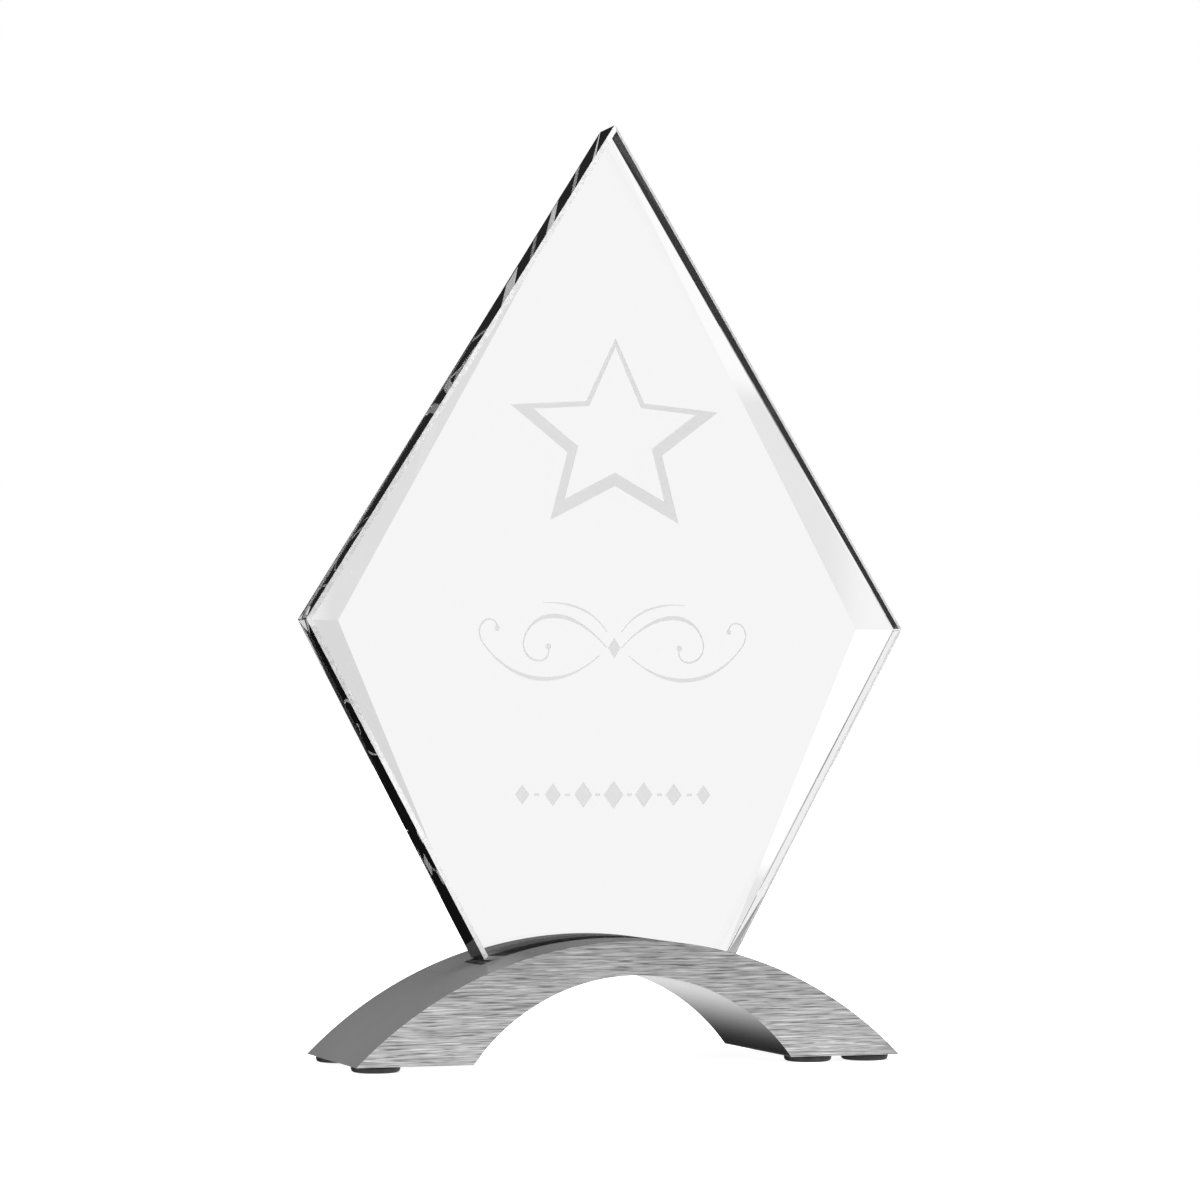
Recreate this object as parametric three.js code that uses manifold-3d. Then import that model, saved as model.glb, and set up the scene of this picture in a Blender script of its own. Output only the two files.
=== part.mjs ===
// Star trophy: a kite-shaped bevelled glass plate, engraved with a star, that stands in a slot
// across the top of a brushed metal arch on stick-on rubber feet.
// Millimetres, +Z up, +X to the right of a person facing the engraving, the front facing -Y.
// The origin is the centre of the footprint, on the surface that the feet stand on.
import * as THREE from 'three';
import { ConvexGeometry } from 'three/addons/geometries/ConvexGeometry.js';
import { mergeVertices } from 'three/addons/utils/BufferGeometryUtils.js';
import Module from 'manifold-3d';

const wasm = await Module();
wasm.setup();

// Rubber feet: short discs with a rounded lower edge.
const footRadius = 6;
const footHeight = 1.6;
const footEdgeRound = 1.1;
const footPlaces = {
  foot_front_left: [-64.7, -15.8],
  foot_rear_left: [-64.7, 15.8],
  foot_rear_right: [64.7, 15.8],
  foot_front_right_outer: [64.7, -15.8],
  foot_front_right_inner: [49, -15.8],
};

// Metal arch: the space between two circular arcs, with flat soles at both ends.
const archHalfLength = 71.5;
const archDepth = 44.4;
const archSole = footHeight;
const archCrest = 31.2;
const openingHalfLength = 41.8;
const openingCrest = 22.6;
const archEdgeBreak = 0.35;
const arcSegments = 40;

// Slot across the crest, the rubber channel that lines it, and the adhesive under the glass.
const slotHalfWidth = 7;
const slotFloor = 24.8;
const channelWall = 0.7;
const channelFloor = 0.6;
const channelHalfLength = 34.5;
const adhesiveHalfLength = 32;
const adhesiveHalfWidth = 5.9;

// Glass plate: front and rear faces are kites, and the rear bevels are widest at the side
// corners and run out to nothing at the apex and at the bottom corners.
const glassThickness = 12;
const glassBottom = 26;
const glassBottomHalfWidth = 33.5;
const glassCornerHeight = 110;
const glassHalfWidth = 80;
const glassApex = 237;
const bevelWidth = 10;
const bevelDrop = 2.8;

// Engraved star outline: a wide star with a smaller star left standing in the middle.
const starCentre = 156.6;
const starHalfWidth = 29.3;
const starHalfHeight = 25.7;
const starWaist = 0.455;
const starInnerScale = 0.79;
const starInnerRaise = 1.4;
const engravingDepth = 0.4;

function material(name, color, roughness, metalness) {
  return new THREE.MeshStandardMaterial({ name, color, roughness, metalness });
}

const glassMaterial = material('clear_glass', 0xeef2f2, 0.02, 0);
const metalMaterial = material('brushed_metal', 0x9c9c9b, 0.38, 1);
const channelMaterial = material('channel_rubber', 0x121212, 0.7, 0);
const adhesiveMaterial = material('adhesive', 0x262626, 0.5, 0);
const footMaterial = material('foot_rubber', 0x1b1b1b, 0.75, 0);

// A closed three.js geometry as a solid that can be cut.
function toSolid(geometry) {
  const bare = geometry.clone();
  bare.deleteAttribute('normal');
  bare.deleteAttribute('uv');
  const merged = mergeVertices(bare, 1e-4);
  return new wasm.Manifold(new wasm.Mesh({
    numProp: 3,
    vertProperties: merged.getAttribute('position').array,
    triVerts: new Uint32Array(merged.getIndex().array),
  }));
}

function toGeometry(solid) {
  const mesh = solid.getMesh();
  const geometry = new THREE.BufferGeometry();
  geometry.setAttribute('position', new THREE.BufferAttribute(mesh.vertProperties, 3));
  geometry.setIndex(new THREE.BufferAttribute(mesh.triVerts, 1));
  geometry.computeVertexNormals();
  return geometry;
}

// Stands a geometry drawn in X and Y, and extruded along Z, upright: Y becomes Z, and the
// extrusion runs from y = front towards the rear.
function standUp(geometry, front, depth) {
  return geometry.rotateX(Math.PI / 2).translate(0, front + depth, 0);
}

function boxBetween(low, high) {
  const size = high.map((value, i) => value - low[i]);
  const centre = high.map((value, i) => (value + low[i]) / 2);
  return new THREE.BoxGeometry(...size).translate(...centre);
}

// The circle through both ends of an arc of the given half length, and through its crest.
function arcThrough(halfLength, foot, crest) {
  const rise = crest - foot;
  const radius = (halfLength ** 2 + rise ** 2) / (2 * rise);
  return { radius, centre: crest - radius, halfAngle: Math.asin(halfLength / radius) };
}

// The arch's outline. Each arc is drawn about its own centre on the Z axis.
function archOutline() {
  const up = Math.PI / 2;
  const outer = arcThrough(archHalfLength, archSole, archCrest);
  const inner = arcThrough(openingHalfLength, archSole, openingCrest);
  const outline = new THREE.Shape();
  outline.moveTo(archHalfLength, archSole);
  outline.absarc(0, outer.centre, outer.radius, up - outer.halfAngle, up + outer.halfAngle, false);
  outline.lineTo(-openingHalfLength, archSole);
  outline.absarc(0, inner.centre, inner.radius, up + inner.halfAngle, up - inner.halfAngle, true);
  outline.closePath();
  return outline;
}

function archGeometry() {
  const body = new THREE.ExtrudeGeometry(archOutline(), {
    depth: archDepth - 2 * archEdgeBreak,
    curveSegments: arcSegments,
    bevelThickness: archEdgeBreak,
    bevelSize: archEdgeBreak,
    bevelOffset: -archEdgeBreak,
    bevelSegments: 1,
  });
  const slot = boxBetween(
    [-archHalfLength, -slotHalfWidth, slotFloor],
    [archHalfLength, slotHalfWidth, archCrest + 1],
  );
  const frontInset = -archDepth / 2 + archEdgeBreak;
  standUp(body, frontInset, archDepth - 2 * archEdgeBreak);
  return toGeometry(toSolid(body).subtract(toSolid(slot)));
}

// A U-shaped channel whose top follows the arch.
function channelGeometry() {
  const outside = boxBetween(
    [-channelHalfLength, -slotHalfWidth, slotFloor],
    [channelHalfLength, slotHalfWidth, archCrest],
  );
  const hollow = boxBetween(
    [-archHalfLength, -slotHalfWidth + channelWall, slotFloor + channelFloor],
    [archHalfLength, slotHalfWidth - channelWall, archCrest + 1],
  );
  const underArch = new THREE.ExtrudeGeometry(archOutline(), {
    depth: archDepth,
    curveSegments: arcSegments,
    bevelEnabled: false,
  });
  standUp(underArch, -archDepth / 2, archDepth);
  return toGeometry(toSolid(outside).subtract(toSolid(hollow)).intersect(toSolid(underArch)));
}

function adhesiveGeometry() {
  return boxBetween(
    [-adhesiveHalfLength, -adhesiveHalfWidth, slotFloor + channelFloor],
    [adhesiveHalfLength, adhesiveHalfWidth, glassBottom],
  );
}

// A five-pointed star, first point up.
function starPoints(scale, raise) {
  const points = [];
  for (let i = 0; i < 10; i += 1) {
    const angle = Math.PI / 2 + i * Math.PI / 5;
    const reach = i % 2 === 0 ? scale : scale * starWaist;
    points.push(new THREE.Vector2(
      reach * starHalfWidth * Math.cos(angle),
      starCentre + raise + reach * starHalfHeight * Math.sin(angle),
    ));
  }
  return points;
}

function engravingGeometry() {
  const outline = new THREE.Shape(starPoints(1, 0));
  outline.holes.push(new THREE.Path(starPoints(starInnerScale, starInnerRaise)));
  const geometry = new THREE.ExtrudeGeometry(outline, {
    depth: 2 * engravingDepth,
    bevelEnabled: false,
  });
  return standUp(geometry, -glassThickness / 2 - engravingDepth, 2 * engravingDepth);
}

function glassGeometry() {
  const front = -glassThickness / 2;
  const rear = glassThickness / 2;
  const corners = [];
  for (const y of [front, rear]) {
    corners.push(new THREE.Vector3(0, y, glassApex));
  }
  for (const side of [-1, 1]) {
    for (const y of [front, rear]) {
      corners.push(new THREE.Vector3(side * glassBottomHalfWidth, y, glassBottom));
    }
    corners.push(new THREE.Vector3(side * glassHalfWidth, front, glassCornerHeight));
    corners.push(new THREE.Vector3(side * glassHalfWidth, rear - bevelDrop, glassCornerHeight));
    corners.push(new THREE.Vector3(side * (glassHalfWidth - bevelWidth), rear, glassCornerHeight));
  }
  const plate = toSolid(new ConvexGeometry(corners));
  return toGeometry(plate.subtract(toSolid(engravingGeometry())));
}

// A foot turned about its own axis: flat underside, rounded edge, flat top against the sole.
function footGeometry() {
  const profile = [new THREE.Vector2(0, 0), new THREE.Vector2(footRadius - footEdgeRound, 0)];
  const steps = 4;
  for (let i = 1; i <= steps; i += 1) {
    const angle = (i / steps) * Math.PI / 2;
    profile.push(new THREE.Vector2(
      footRadius - footEdgeRound + footEdgeRound * Math.sin(angle),
      footEdgeRound - footEdgeRound * Math.cos(angle),
    ));
  }
  profile.push(new THREE.Vector2(footRadius, footHeight), new THREE.Vector2(0, footHeight));
  return new THREE.LatheGeometry(profile, 32).rotateX(Math.PI / 2);
}

function part(name, geometry, partMaterial) {
  const mesh = new THREE.Mesh(geometry, partMaterial);
  mesh.name = name;
  return mesh;
}

const trophy = new THREE.Group();
trophy.add(part('glass_plate', glassGeometry(), glassMaterial));
trophy.add(part('arch_base', archGeometry(), metalMaterial));
trophy.add(part('slot_channel', channelGeometry(), channelMaterial));
trophy.add(part('adhesive_bed', adhesiveGeometry(), adhesiveMaterial));
for (const [name, [x, y]] of Object.entries(footPlaces)) {
  const foot = part(name, footGeometry(), footMaterial);
  foot.position.set(x, y, 0);
  trophy.add(foot);
}

export default trophy;
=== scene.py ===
"""Looks of the star trophy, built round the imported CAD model. Metres, +Z up, the front facing -Y."""
import math

import bmesh
import bpy
from mathutils import Matrix, Vector
from mathutils.geometry import delaunay_2d_cdt


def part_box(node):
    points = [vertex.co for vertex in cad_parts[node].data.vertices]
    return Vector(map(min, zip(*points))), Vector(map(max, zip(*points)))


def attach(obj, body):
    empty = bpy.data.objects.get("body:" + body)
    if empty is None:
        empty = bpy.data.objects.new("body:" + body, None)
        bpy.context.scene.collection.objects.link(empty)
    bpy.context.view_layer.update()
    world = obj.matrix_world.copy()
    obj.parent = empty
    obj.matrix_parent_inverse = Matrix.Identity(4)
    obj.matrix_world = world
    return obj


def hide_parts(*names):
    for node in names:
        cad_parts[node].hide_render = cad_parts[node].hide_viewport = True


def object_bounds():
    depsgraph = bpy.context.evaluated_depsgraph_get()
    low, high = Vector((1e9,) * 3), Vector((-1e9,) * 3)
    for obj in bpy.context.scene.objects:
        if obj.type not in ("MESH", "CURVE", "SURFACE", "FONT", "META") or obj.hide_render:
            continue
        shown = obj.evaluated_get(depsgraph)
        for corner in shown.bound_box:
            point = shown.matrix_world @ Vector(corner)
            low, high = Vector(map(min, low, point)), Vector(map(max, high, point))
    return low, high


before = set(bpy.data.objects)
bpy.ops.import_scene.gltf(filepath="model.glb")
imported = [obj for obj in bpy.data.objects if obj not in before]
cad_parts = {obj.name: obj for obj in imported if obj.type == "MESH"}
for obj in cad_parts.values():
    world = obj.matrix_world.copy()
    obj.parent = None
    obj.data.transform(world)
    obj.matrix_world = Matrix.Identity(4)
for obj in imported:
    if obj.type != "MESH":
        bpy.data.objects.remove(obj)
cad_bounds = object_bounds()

MM = 0.001

# Material slots of the glass, then of the arch.
CLEAR, FROSTED, FAINT, GROUND = range(4)
SATIN, BRUSHED, INNER = range(3)

# Glass plate, shaped as in the CAD model.
GLASS_CORNER_HEIGHT = 110 * MM
GLASS_BOTTOM_HALF_WIDTH = 33.5 * MM
REAR_BEVEL_WIDTH = 10 * MM
REAR_BEVEL_DROP = 2.8 * MM
FRONT_ARRIS = 1.0 * MM
REAR_ARRIS = 0.25 * MM

# Engraving in the front face.
ENGRAVING_DEPTH = 0.15 * MM
STAR_CENTRE = 156.6 * MM
STAR_HALF_WIDTH = 29.3 * MM
STAR_HALF_HEIGHT = 25.7 * MM
STAR_WAIST = 0.455
STAR_INNER_SCALE = 0.785
STAR_INNER_RAISE = 0.85 * MM
STAR_TIP_RAISE = 2.6 * MM
STAR_TIP_WIDENING = 0.9 * MM
SCROLL_CENTRE = 104 * MM
RULE_CENTRE = 67 * MM

# Arch, shaped as in the CAD model.
ARCH_OPENING_HALF_LENGTH = 41.8 * MM
ARCH_OPENING_CREST = 22.6 * MM
SLOT_HALF_WIDTH = 7 * MM
SLOT_FLOOR = 24.8 * MM
ARCH_EDGE = 0.3 * MM
ARC_STEPS = 120

FLAT = 0.95  # a face this nearly along Y is a front or rear face
STEEP = 0.3  # and one below this is a side

# Camera: where it stands, and how it is turned from looking straight along +Y.
CAMERA_PLACE = Vector((-313.8, -857.1, 75.8)) * MM
CAMERA_YAW = math.radians(20.01)
CAMERA_PITCH = math.radians(2.54)
CAMERA_ROLL = math.radians(0.26)
CAMERA_LENS_MM = 108
SENSOR_MM = 36

FLOOR_GLOW = 0.8

glass_low, glass_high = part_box("glass_plate")
arch_low, arch_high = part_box("arch_base")


# ---------------------------------------------------------------- node helpers

def new_material(name):
    """An empty node material, with its nodes and its output."""
    made = bpy.data.materials.new(name)
    made.use_nodes = True
    nodes = made.node_tree.nodes
    nodes.clear()
    output = nodes.new("ShaderNodeOutputMaterial")
    return made, made.node_tree, output


def principled(tree, output, **settings):
    """A Principled shader wired to the output. Settings are socket names with underscores."""
    shader = tree.nodes.new("ShaderNodeBsdfPrincipled")
    for name, value in settings.items():
        shader.inputs[name.replace("_", " ")].default_value = value
    tree.links.new(shader.outputs[0], output.inputs["Surface"])
    return shader


def grey(value):
    return (value, value, value, 1.0)


def stretched_noise(tree, coordinate, scale, detail, roughness=0.5):
    """Noise over the object's own coordinates, with its own scale along each axis, in cycles per metre."""
    mapping = tree.nodes.new("ShaderNodeMapping")
    mapping.inputs["Scale"].default_value = scale
    tree.links.new(coordinate, mapping.inputs["Vector"])
    noise = tree.nodes.new("ShaderNodeTexNoise")
    noise.inputs["Scale"].default_value = 1.0
    noise.inputs["Detail"].default_value = detail
    noise.inputs["Roughness"].default_value = roughness
    tree.links.new(mapping.outputs[0], noise.inputs["Vector"])
    return noise.outputs["Fac"]


def remap(tree, value, low, high, to_low, to_high):
    node = tree.nodes.new("ShaderNodeMapRange")
    node.inputs["From Min"].default_value = low
    node.inputs["From Max"].default_value = high
    node.inputs["To Min"].default_value = to_low
    node.inputs["To Max"].default_value = to_high
    tree.links.new(value, node.inputs["Value"])
    return node.outputs["Result"]


def math_node(tree, operation, first, second):
    node = tree.nodes.new("ShaderNodeMath")
    node.operation = operation
    for socket, value in zip(node.inputs, (first, second)):
        if isinstance(value, (int, float)):
            socket.default_value = value
        else:
            tree.links.new(value, socket)
    return node.outputs[0]


def link_grey(tree, tone, shader):
    """Drives the base colour with a grey tone."""
    colour = tree.nodes.new("ShaderNodeCombineColor")
    for channel in colour.inputs:
        tree.links.new(tone, channel)
    tree.links.new(colour.outputs[0], shader.inputs["Base Color"])


def object_coordinate(tree):
    return tree.nodes.new("ShaderNodeTexCoord").outputs["Object"]


def bump(tree, height, distance, strength):
    node = tree.nodes.new("ShaderNodeBump")
    node.inputs["Strength"].default_value = strength
    node.inputs["Distance"].default_value = distance
    tree.links.new(height, node.inputs["Height"])
    return node.outputs["Normal"]


# ---------------------------------------------------------------- materials

def clear_glass():
    """Polished clear glass, with the faintest waviness in its roughness."""
    made, tree, output = new_material("clear_glass")
    shader = principled(tree, output, Base_Color=(1.0, 1.0, 1.0, 1.0), IOR=1.5, Transmission_Weight=1.0)
    smear = stretched_noise(tree, object_coordinate(tree), (60, 60, 40), 3)
    tree.links.new(remap(tree, smear, 0.5, 0.8, 0.0, 0.02), shader.inputs["Roughness"])
    return made


def etched_glass(name, low_tone, high_tone):
    """Sandblasted glass: fine pits of uneven roughness, with painted light that makes the etching lighter
    towards the top of the plate.
    """
    made, tree, output = new_material(name)
    shader = principled(tree, output, IOR=1.5, Transmission_Weight=1.0)
    coordinate = object_coordinate(tree)
    grain = stretched_noise(tree, coordinate, (4000, 4000, 4000), 2)
    height = tree.nodes.new("ShaderNodeSeparateXYZ")
    tree.links.new(coordinate, height.inputs[0])
    # painted light: the tone rises from low_tone to high_tone towards the top of the plate
    tone = remap(tree, height.outputs["Z"], 145 * MM, 182 * MM, low_tone, high_tone)
    tone = math_node(tree, "MULTIPLY", tone, remap(tree, grain, 0.3, 0.7, 0.96, 1.04))
    link_grey(tree, tone, shader)
    tree.links.new(remap(tree, grain, 0.3, 0.7, 0.42, 0.6), shader.inputs["Roughness"])
    tree.links.new(bump(tree, grain, 0.02 * MM, 0.25), shader.inputs["Normal"])
    return made


def ground_glass():
    """The seamed front arris: glass ground along its edge and left a little rough."""
    made, tree, output = new_material("ground_glass")
    shader = principled(tree, output, IOR=1.5, Transmission_Weight=0.55)
    coordinate = object_coordinate(tree)
    chips = stretched_noise(tree, coordinate, (900, 900, 900), 3)
    link_grey(tree, remap(tree, chips, 0.3, 0.7, 0.55, 0.75), shader)
    tree.links.new(remap(tree, chips, 0.3, 0.7, 0.25, 0.4), shader.inputs["Roughness"])
    tree.links.new(bump(tree, chips, 0.03 * MM, 0.3), shader.inputs["Normal"])
    return made


def brushed_metal():
    """Aluminium brushed along X: fine broken streaks, a few darker scores, and painted shade that darkens it
    towards the crest.
    """
    made, tree, output = new_material("brushed_metal")
    shader = principled(tree, output, Metallic=1.0)
    coordinate = object_coordinate(tree)
    broad = stretched_noise(tree, coordinate, (50, 0, 1700), 2)
    fine = stretched_noise(tree, coordinate, (110, 0, 3800), 3, 0.6)
    scores = stretched_noise(tree, coordinate, (120, 0, 3000), 2)
    height = tree.nodes.new("ShaderNodeSeparateXYZ")
    tree.links.new(coordinate, height.inputs[0])
    # painted shade: the tone falls from the feet to the crest
    tone = remap(tree, height.outputs["Z"], 4 * MM, 30 * MM, 0.58, 0.41)
    tone = math_node(tree, "MULTIPLY", tone, remap(tree, broad, 0.3, 0.7, 0.75, 1.25))
    tone = math_node(tree, "MULTIPLY", tone, remap(tree, fine, 0.3, 0.7, 0.45, 1.55))
    tone = math_node(tree, "MULTIPLY", tone, remap(tree, scores, 0.54, 0.66, 1.0, 0.42))
    link_grey(tree, tone, shader)
    tree.links.new(remap(tree, fine, 0.3, 0.7, 0.42, 0.32), shader.inputs["Roughness"])
    tree.links.new(bump(tree, fine, 0.01 * MM, 0.35), shader.inputs["Normal"])
    return made


def satin_metal(name, metallic, base, crest_shade, low_rough, high_rough):
    """The same aluminium, bead-blasted: an even grey with a fine grain, and painted shade that darkens the
    crest.
    """
    made, tree, output = new_material(name)
    shader = principled(tree, output, Specular_IOR_Level=0.0)
    coordinate = object_coordinate(tree)
    grain = stretched_noise(tree, coordinate, (2500, 2500, 2500), 3)
    cloud = stretched_noise(tree, coordinate, (35, 60, 35), 2)
    tone = math_node(tree, "ADD", math_node(tree, "MULTIPLY", grain, 0.4),
                     math_node(tree, "MULTIPLY", cloud, 0.6))
    height = tree.nodes.new("ShaderNodeSeparateXYZ")
    tree.links.new(coordinate, height.inputs[0])
    # painted shade: colour and metallic fall to crest_shade of their value over the crest
    shade = remap(tree, height.outputs["Z"], 22 * MM, 28 * MM, 1.0, crest_shade)
    tree.links.new(math_node(tree, "MULTIPLY", shade, metallic), shader.inputs["Metallic"])
    tone = math_node(tree, "MULTIPLY", shade, remap(tree, tone, 0.3, 0.7, base * 0.95, base * 1.05))
    link_grey(tree, tone, shader)
    tree.links.new(remap(tree, grain, 0.3, 0.7, low_rough, high_rough), shader.inputs["Roughness"])
    tree.links.new(bump(tree, grain, 0.01 * MM, 0.3), shader.inputs["Normal"])
    return made


def black_rubber(name, base, rough):
    """Moulded black rubber: fine pits and a little dust."""
    made, tree, output = new_material(name)
    shader = principled(tree, output)
    coordinate = object_coordinate(tree)
    pits = stretched_noise(tree, coordinate, (3000, 3000, 3000), 3)
    dust = stretched_noise(tree, coordinate, (500, 500, 700), 2)
    tone = tree.nodes.new("ShaderNodeValToRGB")
    tone.color_ramp.elements[0].position = 0.4
    tone.color_ramp.elements[0].color = grey(base)
    tone.color_ramp.elements[1].position = 0.75
    tone.color_ramp.elements[1].color = grey(base * 2.2)
    tree.links.new(dust, tone.inputs["Fac"])
    tree.links.new(tone.outputs["Color"], shader.inputs["Base Color"])
    tree.links.new(remap(tree, pits, 0.3, 0.7, rough - 0.08, rough + 0.08), shader.inputs["Roughness"])
    tree.links.new(bump(tree, pits, 0.02 * MM, 0.5), shader.inputs["Normal"])
    return made


def floor_surface():
    """A white sheet on a light table, which leaves only a faint shadow."""
    made, tree, output = new_material("pale_floor")
    principled(tree, output, Base_Color=grey(0.8), Roughness=0.9, Specular_IOR_Level=0.0,
               Emission_Color=grey(1.0), Emission_Strength=FLOOR_GLOW)
    made.cycles.emission_sampling = "NONE"
    return made


# ---------------------------------------------------------------- mesh helpers

def add_object(name, mesh, *materials):
    made = bpy.data.objects.new(name, mesh)
    bpy.context.scene.collection.objects.link(made)
    for one in materials:
        mesh.materials.append(one)
    return made


def mesh_from(name, maker):
    """A mesh from a bmesh that is ready to use."""
    mesh = bpy.data.meshes.new(name)
    maker.to_mesh(mesh)
    maker.free()
    return mesh


def piece(made, slot, *nodes):
    """Attaches a finished piece to the root body and hides the CAD nodes that it stands for. The slot
    argument is not used.
    """
    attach(made, "root")
    if nodes:
        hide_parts(*nodes)
    return made


# ---------------------------------------------------------------- engraving outlines, as (x, z)

def star_outline(scale, rise):
    points = []
    for i in range(10):
        angle = math.pi / 2 + i * math.pi / 5
        reach = scale if i % 2 == 0 else scale * STAR_WAIST
        points.append((reach * STAR_HALF_WIDTH * math.cos(angle),
                       STAR_CENTRE + rise + reach * STAR_HALF_HEIGHT * math.sin(angle)))
    return points


def inner_star_outline():
    """The star inside the outline, whose top point comes closer to the outer one."""
    points = star_outline(STAR_INNER_SCALE, STAR_INNER_RAISE)
    points[0] = (0, points[0][1] + STAR_TIP_RAISE)
    for i, side in ((1, -1), (9, 1)):
        points[i] = (points[i][0] + side * STAR_TIP_WIDENING, points[i][1])
    return points


def disc(x, z, radius, sides=20):
    return [(x + radius * math.cos(2 * math.pi * i / sides), z + radius * math.sin(2 * math.pi * i / sides))
            for i in range(sides)]


def ribbon(points, width_at):
    """A stroke along the points, as one four-sided outline per step. width_at takes 0 to 1."""
    last = len(points) - 1
    left, right = [], []
    for i, (x, z) in enumerate(points):
        ax, az = points[max(i - 1, 0)]
        bx, bz = points[min(i + 1, last)]
        length = math.hypot(bx - ax, bz - az)
        half = width_at(i / last) / 2
        nx, nz = -(bz - az) / length * half, (bx - ax) / length * half
        left.append((x + nx, z + nz))
        right.append((x - nx, z - nz))
    return [[left[i], left[i + 1], right[i + 1], right[i]] for i in range(last)]


def bezier(a, b, c, d, steps=28):
    points = []
    for i in range(steps + 1):
        t = i / steps
        weights = ((1 - t) ** 3, 3 * t * (1 - t) ** 2, 3 * t * t * (1 - t), t ** 3)
        points.append(tuple(sum(w * p[k] for w, p in zip(weights, (a, b, c, d))) for k in (0, 1)))
    return points


def swell(thin, thick):
    """A pen stroke's width: thin at both ends and thick in the middle."""
    return lambda t: thin + (thick - thin) * math.sin(math.pi * t) ** 2


def scroll_strokes():
    """A symmetrical scroll of pen strokes in place of a name. Drawn in millimetres about its centre."""
    curves = (
        (((2, 0), (12, 11), (22, 9), (24, 2)), swell(0.25, 1.1)),
        (((24, 2), (25.5, -4), (17, -5.5), (17.5, -0.5)), swell(0.25, 0.5)),
        (((4, -2), (14, -11), (27, -10), (35, 1)), swell(0.25, 1.0)),
        (((35, 1), (38, 6), (31.5, 9), (31, 4.5)), swell(0.25, 0.45)),
        (((2, 4), (6, 10), (13, 11.5), (19, 11)), swell(0.2, 0.5)),
    )
    outlines = []
    for side in (-1, 1):
        for ends, width in curves:
            placed = [(side * x * MM, SCROLL_CENTRE + z * MM) for x, z in ends]
            outlines += ribbon(bezier(*placed), lambda t, width=width: width(t) * MM)
        for x, z, radius in ((17.6, 0.1, 0.7), (31.1, 4.4, 0.65)):
            outlines.append(disc(side * x * MM, SCROLL_CENTRE + z * MM, radius * MM))
    outlines.append(lozenge(0, SCROLL_CENTRE, 1.6 * MM, 2.6 * MM))
    return outlines


def lozenge(x, z, half_width, half_height):
    return [(x + half_width, z), (x, z + half_height), (x - half_width, z), (x, z - half_height)]


def rule_strokes():
    """A row of lozenges on a thin rule, in place of a line of text."""
    outlines = []
    pitch = 8.1 * MM
    reach = 3
    for i in range(-reach, reach + 1):
        size = 1 - 0.1 * abs(i)
        outlines.append(lozenge(i * pitch, RULE_CENTRE, 2.6 * MM * size, 3.5 * MM * size))
    for side in (-1, 1):
        for i in range(reach):
            start = (i + 0.45) * pitch
            end = (i + 0.6) * pitch
            outlines.append([(side * start, RULE_CENTRE - 0.35 * MM), (side * end, RULE_CENTRE - 0.35 * MM),
                             (side * end, RULE_CENTRE + 0.35 * MM), (side * start, RULE_CENTRE + 0.35 * MM)])
    return outlines


# ---------------------------------------------------------------- glass

def plate_body():
    """The plate with its rear bevels and its arrises, in a bmesh."""
    front, rear = glass_low.y, glass_high.y
    half, corner = glass_high.x, GLASS_CORNER_HEIGHT
    rim = [(0, glass_high.z), (half, corner), (GLASS_BOTTOM_HALF_WIDTH, glass_low.z),
           (-GLASS_BOTTOM_HALF_WIDTH, glass_low.z), (-half, corner)]
    depth = [rear, rear - REAR_BEVEL_DROP, rear, rear, rear - REAR_BEVEL_DROP]
    maker = bmesh.new()
    front_verts = [maker.verts.new((x, front, z)) for x, z in rim]
    rear_verts = [maker.verts.new((x, y, z)) for (x, z), y in zip(rim, depth)]
    inner = {1: maker.verts.new((half - REAR_BEVEL_WIDTH, rear, corner)),
             4: maker.verts.new((REAR_BEVEL_WIDTH - half, rear, corner))}
    maker.faces.new(front_verts)
    for i in range(5):
        j = (i + 1) % 5
        maker.faces.new((front_verts[j], front_verts[i], rear_verts[i], rear_verts[j]))
    maker.faces.new((rear_verts[0], inner[4], rear_verts[3], rear_verts[2], inner[1]))
    for corner_index, neighbours in ((1, (0, 2)), (4, (3, 0))):
        before, after = neighbours
        maker.faces.new((rear_verts[corner_index], rear_verts[before], inner[corner_index]))
        maker.faces.new((rear_verts[after], rear_verts[corner_index], inner[corner_index]))
    bmesh.ops.recalc_face_normals(maker, faces=maker.faces)
    for arris, on_front in ((FRONT_ARRIS, True), (REAR_ARRIS, False)):
        sharp = [e for e in maker.edges if e.calc_face_angle() > math.radians(25)
                 and all(v.co.y < front + MM / 2 for v in e.verts) == on_front
                 and not any(-FLAT < f.normal.y < -STEEP for f in e.link_faces)]
        bmesh.ops.bevel(maker, geom=sharp, offset=arris, offset_type="OFFSET", segments=1,
                        profile=0.5, affect="EDGES")
    for face in maker.faces:
        if -FLAT < face.normal.y < -STEEP:
            face.material_index = GROUND
    return maker


def loop_area(points, loop):
    """Twice the signed area inside a loop of point numbers."""
    return sum(points[a].cross(points[b]) for a, b in zip(loop, loop[1:] + loop[:1]))


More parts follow.
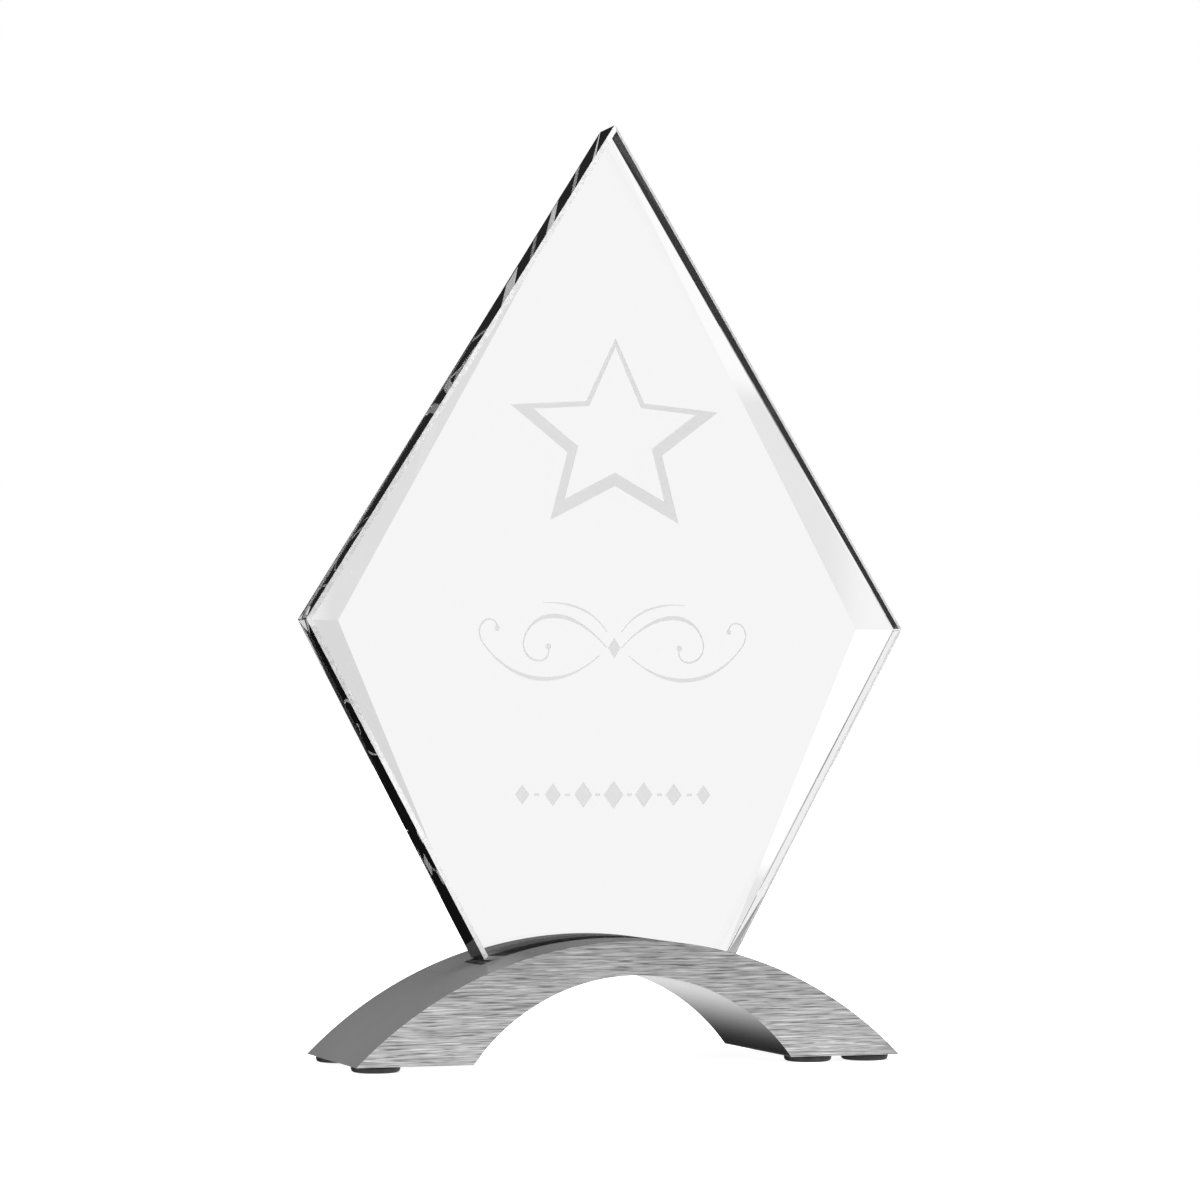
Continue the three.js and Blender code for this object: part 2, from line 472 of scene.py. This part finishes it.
def engrave(maker):
    """Swaps the flat front face for one with the engraving sunk in it."""
    front = glass_low.y
    face = max(maker.faces, key=lambda f: f.calc_area() if f.normal.y < -0.99 else 0)
    rim = list(face.verts)
    maker.faces.remove(face)
    scroll = scroll_strokes()
    shapes = [star_outline(1, 0), inner_star_outline()] + scroll + rule_strokes()
    points = [Vector((v.co.x, v.co.z)) for v in rim]
    loops = [list(range(len(rim)))]
    for shape in shapes:
        start = len(points)
        points += [Vector(p) for p in shape]
        loop = list(range(start, len(points)))
        loops.append(loop if loop_area(points, loop) > 0 else loop[::-1])
    if loop_area(points, loops[0]) < 0:
        loops[0].reverse()
    flat, _, faces, sources, _, inside = delaunay_2d_cdt(points, [], loops, 1, 1e-7, True)

    def finish_of(owners):
        if any(2 < o <= 2 + len(scroll) for o in owners):
            return FAINT
        return FROSTED if (1 in owners and 2 not in owners) or any(o > 2 for o in owners) else CLEAR

    top, floor = {}, {}
    for i, origin in enumerate(sources):
        known = [o for o in origin if o < len(rim)]
        if known:
            top[i] = rim[known[0]]

    def vertex(store, i, y):
        if i not in store:
            store[i] = maker.verts.new((flat[i].x, y, flat[i].y))
        return store[i]

    sunk_edges = {}
    for corners, owners in zip(faces, inside):
        finish = finish_of(owners)
        store, y = (top, front) if finish == CLEAR else (floor, front + ENGRAVING_DEPTH)
        made = maker.faces.new([vertex(store, i, y) for i in corners])
        made.material_index = finish
        for a, b in zip(corners, corners[1:] + corners[:1]):
            sunk_edges.setdefault(frozenset((a, b)), []).append(finish)
    for edge, sides in sunk_edges.items():
        if len(sides) == 2 and min(sides) == CLEAR < max(sides):
            a, b = edge
            wall = maker.faces.new((vertex(top, a, front), vertex(top, b, front),
                                    vertex(floor, b, front + ENGRAVING_DEPTH),
                                    vertex(floor, a, front + ENGRAVING_DEPTH)))
            wall.material_index = max(sides)
    bmesh.ops.recalc_face_normals(maker, faces=maker.faces)


def make_glass():
    maker = plate_body()
    engrave(maker)
    made = add_object("bevelled_glass", mesh_from("bevelled_glass", maker), clear_glass(),
                      etched_glass("frosted_glass", 0.85, 0.95),
                      etched_glass("faintly_frosted_glass", 0.85, 0.85), ground_glass())
    return piece(made, "glass", "glass_plate")


# ---------------------------------------------------------------- metal arch

def arc_points(half_length, foot, crest, steps):
    """Points of an arc from its right end over its crest to its left end."""
    rise = crest - foot
    radius = (half_length ** 2 + rise ** 2) / (2 * rise)
    reach = math.asin(half_length / radius)
    angles = [math.pi / 2 - reach + 2 * reach * i / steps for i in range(steps + 1)]
    return [(radius * math.cos(a), crest - radius + radius * math.sin(a)) for a in angles]


def make_arch():
    """Two arcs extruded front to rear, with the slot cut across the crest and every edge broken."""
    outline = arc_points(arch_high.x, arch_low.z, arch_high.z, ARC_STEPS)
    outline += reversed(arc_points(ARCH_OPENING_HALF_LENGTH, arch_low.z, ARCH_OPENING_CREST, ARC_STEPS))
    maker = bmesh.new()
    front = [maker.verts.new((x, arch_low.y, z)) for x, z in outline]
    rear = [maker.verts.new((x, arch_high.y, z)) for x, z in outline]
    count = len(outline)
    maker.faces.new(front)
    maker.faces.new(rear)
    for i in range(count):
        j = (i + 1) % count
        maker.faces.new((front[i], front[j], rear[j], rear[i]))
    bmesh.ops.recalc_face_normals(maker, faces=maker.faces)
    made = add_object("brushed_arch", mesh_from("brushed_arch", maker))

    cutter_maker = bmesh.new()
    bmesh.ops.create_cube(cutter_maker, size=1)
    reach = arch_high.z - SLOT_FLOOR + 5 * MM
    bmesh.ops.scale(cutter_maker, verts=cutter_maker.verts,
                    vec=(2 * arch_high.x, 2 * SLOT_HALF_WIDTH, reach))
    bmesh.ops.translate(cutter_maker, verts=cutter_maker.verts, vec=(0, 0, SLOT_FLOOR + reach / 2))
    cutter = add_object("slot_cutter", mesh_from("slot_cutter", cutter_maker))

    cut = made.modifiers.new("slot", "BOOLEAN")
    cut.operation = "DIFFERENCE"
    cut.solver = "EXACT"
    cut.object = cutter
    edges = made.modifiers.new("edges", "BEVEL")
    edges.width = ARCH_EDGE
    edges.segments = 2
    edges.limit_method = "ANGLE"
    edges.angle_limit = math.radians(30)
    bpy.context.view_layer.update()
    depsgraph = bpy.context.evaluated_depsgraph_get()
    finished = bpy.data.meshes.new_from_object(made.evaluated_get(depsgraph))
    made.modifiers.clear()
    made.data = finished
    bpy.data.objects.remove(cutter)

    finished.materials.clear()
    for one in (satin_metal("satin_metal", 0.6, 0.268, 0.3, 0.14, 0.2), brushed_metal(),
                satin_metal("inner_metal", 1.0, 0.58, 1.0, 0.12, 0.2)):
        finished.materials.append(one)
    for polygon in finished.polygons:
        on_side = abs(polygon.normal.y) > FLAT and abs(polygon.center.y) > 2 * SLOT_HALF_WIDTH
        polygon.material_index = BRUSHED if on_side else INNER if polygon.normal.z < 0 else SATIN
    finished.shade_smooth()
    finished.set_sharp_from_angle(angle=math.radians(15))
    return piece(made, "metal", "arch_base")


# ---------------------------------------------------------------- rubber

def make_foot(node, rubber):
    """A turned rubber foot: a thin adhesive film on top, a rounded edge and a dished underside."""
    low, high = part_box(node)
    centre = (low + high) / 2
    radius = (high.x - low.x) / 2
    height = high.z - low.z
    profile = [(0, 0.12), (0.45, 0.12), (0.52, 0.0), (0.8, 0.0), (0.87, 0.04), (0.93, 0.12), (0.97, 0.25),
               (0.99, 0.42), (1.0, 0.6), (1.0, 0.8), (0.985, 0.86), (0.95, 0.88), (0.95, 1.0), (0, 1.0)]
    sides = 64
    maker = bmesh.new()
    rings = []
    for reach, rise in profile:
        z = low.z + rise * height
        if reach == 0:
            rings.append([maker.verts.new((centre.x, centre.y, z))])
            continue
        ring = []
        for i in range(sides):
            angle = 2 * math.pi * i / sides
            ring.append(maker.verts.new((centre.x + reach * radius * math.cos(angle),
                                         centre.y + reach * radius * math.sin(angle), z)))
        rings.append(ring)
    for lower, upper in zip(rings, rings[1:]):
        for i in range(sides):
            j = (i + 1) % sides
            if len(lower) == 1:
                maker.faces.new((lower[0], upper[i], upper[j]))
            elif len(upper) == 1:
                maker.faces.new((lower[i], lower[j], upper[0]))
            else:
                maker.faces.new((lower[i], lower[j], upper[j], upper[i]))
    bmesh.ops.recalc_face_normals(maker, faces=maker.faces)
    mesh = mesh_from("rubber_" + node, maker)
    mesh.shade_smooth()
    mesh.set_sharp_from_angle(angle=math.radians(40))
    return piece(add_object("rubber_" + node, mesh, rubber), "foot_rubber", node)


def dress(node, material):
    """Gives a CAD node that stays in view its material."""
    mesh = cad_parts[node].data
    mesh.materials.clear()
    mesh.materials.append(material)


# ---------------------------------------------------------------- stage

def make_floor():
    maker = bmesh.new()
    bmesh.ops.create_grid(maker, x_segments=1, y_segments=1, size=40)
    made = add_object("floor", mesh_from("floor", maker), floor_surface())
    made.location.z = cad_bounds[0][2]
    made.visible_transmission = False
    made.visible_glossy = False


def direction_angles(tree):
    """Azimuth and elevation of the ray, in degrees. Azimuth 0 is +Y and grows towards +X."""
    split = tree.nodes.new("ShaderNodeSeparateXYZ")
    tree.links.new(tree.nodes.new("ShaderNodeTexCoord").outputs["Generated"], split.inputs[0])
    x, y, z = split.outputs
    azimuth = math_node(tree, "ARCTAN2", x, y)
    elevation = math_node(tree, "ARCSINE", z, 0)
    degrees = math.degrees(1)
    return math_node(tree, "MULTIPLY", azimuth, degrees), math_node(tree, "MULTIPLY", elevation, degrees)


def soft_step(tree, value, at, softness):
    """0 below the edge and 1 above it."""
    node = tree.nodes.new("ShaderNodeMapRange")
    node.interpolation_type = "SMOOTHSTEP"
    node.inputs["From Min"].default_value = at - softness
    node.inputs["From Max"].default_value = at + softness
    tree.links.new(value, node.inputs["Value"])
    return node.outputs["Result"]


def studio(tree, angles, level, windows):
    """A radiance over all directions: a level, and windows in it that are brighter or darker.

    A window is (azimuths, elevations, radiance, softness of its edges), with the angles in degrees."""
    for (left, right), (low, high), radiance, softness in windows:
        mask = None
        for value, start, end in ((angles[0], left, right), (angles[1], low, high)):
            span = math_node(tree, "SUBTRACT", soft_step(tree, value, start, softness),
                             soft_step(tree, value, end, softness))
            mask = span if mask is None else math_node(tree, "MULTIPLY", mask, span)
        mix = tree.nodes.new("ShaderNodeMix")
        tree.links.new(mask, mix.inputs["Factor"])
        if isinstance(level, float):
            mix.inputs["A"].default_value = level
        else:
            tree.links.new(level, mix.inputs["A"])
        mix.inputs["B"].default_value = radiance
        level = mix.outputs["Result"]
    return level


def background(tree, radiance):
    node = tree.nodes.new("ShaderNodeBackground")
    node.inputs["Color"].default_value = grey(1.0)
    if isinstance(radiance, float):
        node.inputs["Strength"].default_value = radiance
    else:
        tree.links.new(radiance, node.inputs["Strength"])
    return node.outputs[0]


def make_world():
    """The studio: a plain white backdrop, soft panels for the metal, and a bright field for the glass.

    Each kind of ray sees its own surroundings: camera rays the backdrop, transmitted rays the field and
    all others the panels. Dark flags stand in the field where the edges of the glass see it."""
    world = bpy.data.worlds.new("studio")
    bpy.context.scene.world = world
    world.use_nodes = True
    tree = world.node_tree
    tree.nodes.clear()
    angles = direction_angles(tree)
    panels = studio(tree, angles, 0.25, (
        ((-182, 182), (-91, 0), 0.9, 1),
        ((115, 181), (-10, 32), 1.0, 8),
        ((-181, -150), (-10, 32), 1.0, 8),
        ((-62, 9.5), (-56, 0), 0.02, 10),
        ((-62, -1), (-56, -5), 0.02, 2),
        ((-24, 12), (9, 30), 0.05, 2),
        ((-150, -60), (34, 72), 2.2, 8),
        ((-182, 182), (72, 91), 1.3, 8),
    ))
    field = studio(tree, angles, 0.914, (
        ((25.4, 33), (-6, 2.6), 0.76, 0.3),
        ((25.4, 33), (2.6, 9), 0.71, 0.3),
        ((33, 50), (0, 20), 1.1, 1),
        ((36, 50), (-12, -1), 0.25, 1),
        ((4, 15.7), (-8, 1.7), 0.78, 0.4),
        ((4, 14.2), (1.7, 12), 0.97, 0.4),
        ((14.2, 15.5), (1.7, 3.5), 1.1, 0.3),
        ((14.2, 16.4), (3.5, 9), 1.1, 0.3),
        ((-8, 0), (-24, -4), 0.95, 2),
        ((-40, -22), (-32, -12), 0.0, 1),
        ((-24, -8), (-16, -6), 0.0, 0.5),
        ((-15, 7.5), (13, 24), 0.12, 1),
        ((-15, -8), (6, 14), 0.0, 1),
        ((70, 96), (5, 24), 0.0, 1),
        ((50, 110), (-26, -5), 0.0, 1),
        ((110, 150), (-60, -37), 0.0, 2),
        ((2, 42), (12.5, 60), 0.2, 1),
    ))
    path = tree.nodes.new("ShaderNodeLightPath")
    output = tree.nodes.new("ShaderNodeOutputWorld")
    seen = background(tree, panels)
    for chooser, choice in (("Is Transmission Ray", field), ("Is Camera Ray", 1.0)):
        choose = tree.nodes.new("ShaderNodeMixShader")
        tree.links.new(path.outputs[chooser], choose.inputs["Fac"])
        tree.links.new(seen, choose.inputs[1])
        tree.links.new(background(tree, choice), choose.inputs[2])
        seen = choose.outputs[0]
    tree.links.new(seen, output.inputs["Surface"])


def make_lights():
    sun = bpy.data.lights.new("overhead_softbox", "SUN")
    sun.energy = 3.4
    sun.angle = math.radians(60)
    made = bpy.data.objects.new("overhead_softbox", sun)
    bpy.context.scene.collection.objects.link(made)
    made.rotation_euler = (math.radians(12), math.radians(-8), 0)
    made.visible_glossy = False


def make_camera():
    forward = Vector((math.sin(CAMERA_YAW) * math.cos(CAMERA_PITCH),
                      math.cos(CAMERA_YAW) * math.cos(CAMERA_PITCH), math.sin(CAMERA_PITCH)))
    level = Vector((math.cos(CAMERA_YAW), -math.sin(CAMERA_YAW), 0))
    upright = level.cross(forward)
    right = level * math.cos(CAMERA_ROLL) + upright * math.sin(CAMERA_ROLL)
    up = upright * math.cos(CAMERA_ROLL) - level * math.sin(CAMERA_ROLL)
    data = bpy.data.cameras.new("camera")
    data.lens = CAMERA_LENS_MM
    data.sensor_width = SENSOR_MM
    data.clip_end = 200
    made = bpy.data.objects.new("camera", data)
    bpy.context.scene.collection.objects.link(made)
    turn = Matrix((right, up, -forward)).transposed().to_4x4()
    made.matrix_world = Matrix.Translation(CAMERA_PLACE) @ turn
    bpy.context.scene.camera = made


make_camera()
make_world()
make_lights()
make_floor()
make_glass()
make_arch()
foot_rubber = black_rubber("foot_rubber", 0.012, 0.5)
for foot_node in sorted(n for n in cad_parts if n.startswith("foot_")):
    make_foot(foot_node, foot_rubber)
dress("slot_channel", black_rubber("channel_rubber", 0.008, 0.6))
dress("adhesive_bed", black_rubber("adhesive", 0.01, 0.4))
bpy.context.scene.view_settings.view_transform = "Standard"
